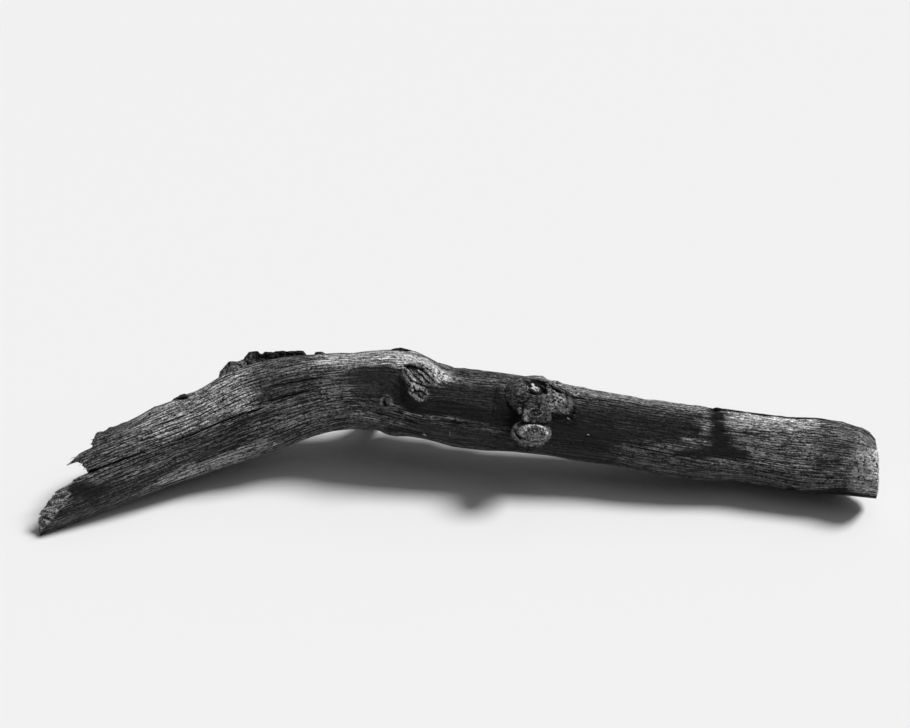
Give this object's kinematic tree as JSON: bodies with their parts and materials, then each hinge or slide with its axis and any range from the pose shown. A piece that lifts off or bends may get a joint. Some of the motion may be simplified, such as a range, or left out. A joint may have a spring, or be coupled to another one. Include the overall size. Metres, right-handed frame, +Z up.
{
  "type": "twig",
  "caption": "Dead, weathered twig with a slight bend: torn to a tongue at one end, cut off at the other, with a drying crack, knots, branch stubs and a patch of bark.",
  "frame": {"origin": "middle of the twig's box, on the surface that it lies on", "axes": "+X along the twig, from its torn end to its cut end; +Z up, away from the surface it lies on; -Y the side with the cut stub and the long crack"},
  "size_m": [0.1986, 0.0452, 0.0287],
  "materials": {
    "weathered_wood": "dry grey weathered wood with a fine fibrous grain, darker stains and remnants of dark bark, matt"
  },
  "bodies": {
    "root": {"twig": "weathered_wood"}
  },
  "joints": []
}
